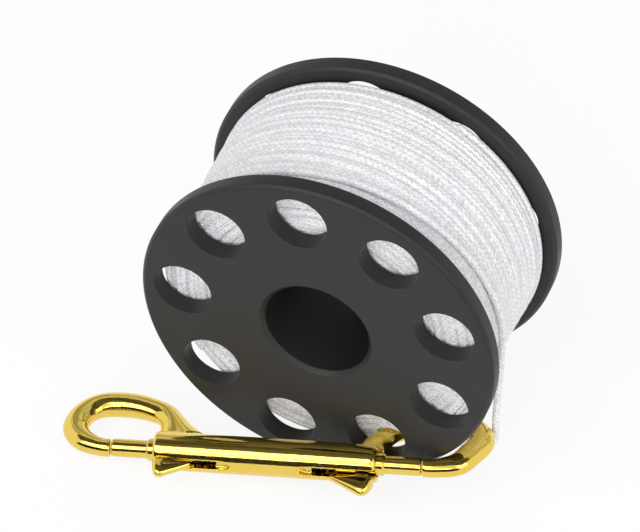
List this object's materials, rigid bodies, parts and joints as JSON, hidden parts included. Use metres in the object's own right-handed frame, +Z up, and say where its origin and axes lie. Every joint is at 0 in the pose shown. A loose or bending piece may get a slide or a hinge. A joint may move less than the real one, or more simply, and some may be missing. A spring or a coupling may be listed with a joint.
{
  "type": "finger spool",
  "caption": "Hand-held line spool: perforated discs on a hub with a finger bore, wound with white braided line, with a brass double-ended bolt snap clipped through a flange hole.",
  "frame": {"origin": "centre of the bottom of the bounding box, measured without the free line end", "axes": "+Z up with the spool standing on its rims; the spool's axis is along Y with the front flange towards -Y; +X runs along the snap towards the hook that is clipped through the front flange"},
  "size_m": [0.1176, 0.0818, 0.0997],
  "materials": {
    "black_plastic": "satin black, lightly moulded or turned",
    "white_line": "white braided line",
    "polished_brass": "cast and polished",
    "spring_steel": "drawn wire"
  },
  "bodies": {
    "spool": {"front_flange": "black_plastic", "rear_flange": "black_plastic", "hub": "black_plastic", "wound_line_core": "white_line", "wound_line_outer": "white_line", "line_tail": "white_line"},
    "snap": {"snap_body": "polished_brass", "left_spring": "spring_steel", "right_spring": "spring_steel", "tail_loop": "white_line", "tail_knot": "white_line"},
    "left_bolt": {"left_bolt": "polished_brass", "left_thumb_knob": "polished_brass"},
    "right_bolt": {"right_bolt": "polished_brass", "right_thumb_knob": "polished_brass"}
  },
  "joints": [
    {"name": "snap_swing", "type": "hinge", "parent": "spool", "child": "snap", "pos_m": [0.02546, -0.01093, 0.01159], "axis": [-0.1897, 0.9763, -0.104], "range_deg": [0, 10], "deforming": ["line_tail"]},
    {"name": "left_bolt_slide", "type": "slide", "parent": "snap", "child": "left_bolt", "axis": [0.9751, 0.1998, 0.0967], "range_m": [0, 0.0115], "stiffness_N_per_m": 300, "springref_m": -0.004, "deforming": ["left_spring"]},
    {"name": "right_bolt_slide", "type": "slide", "parent": "snap", "child": "right_bolt", "axis": [-0.9751, -0.1998, -0.0967], "range_m": [0, 0.0115], "stiffness_N_per_m": 300, "springref_m": -0.004, "deforming": ["right_spring"]}
  ]
}
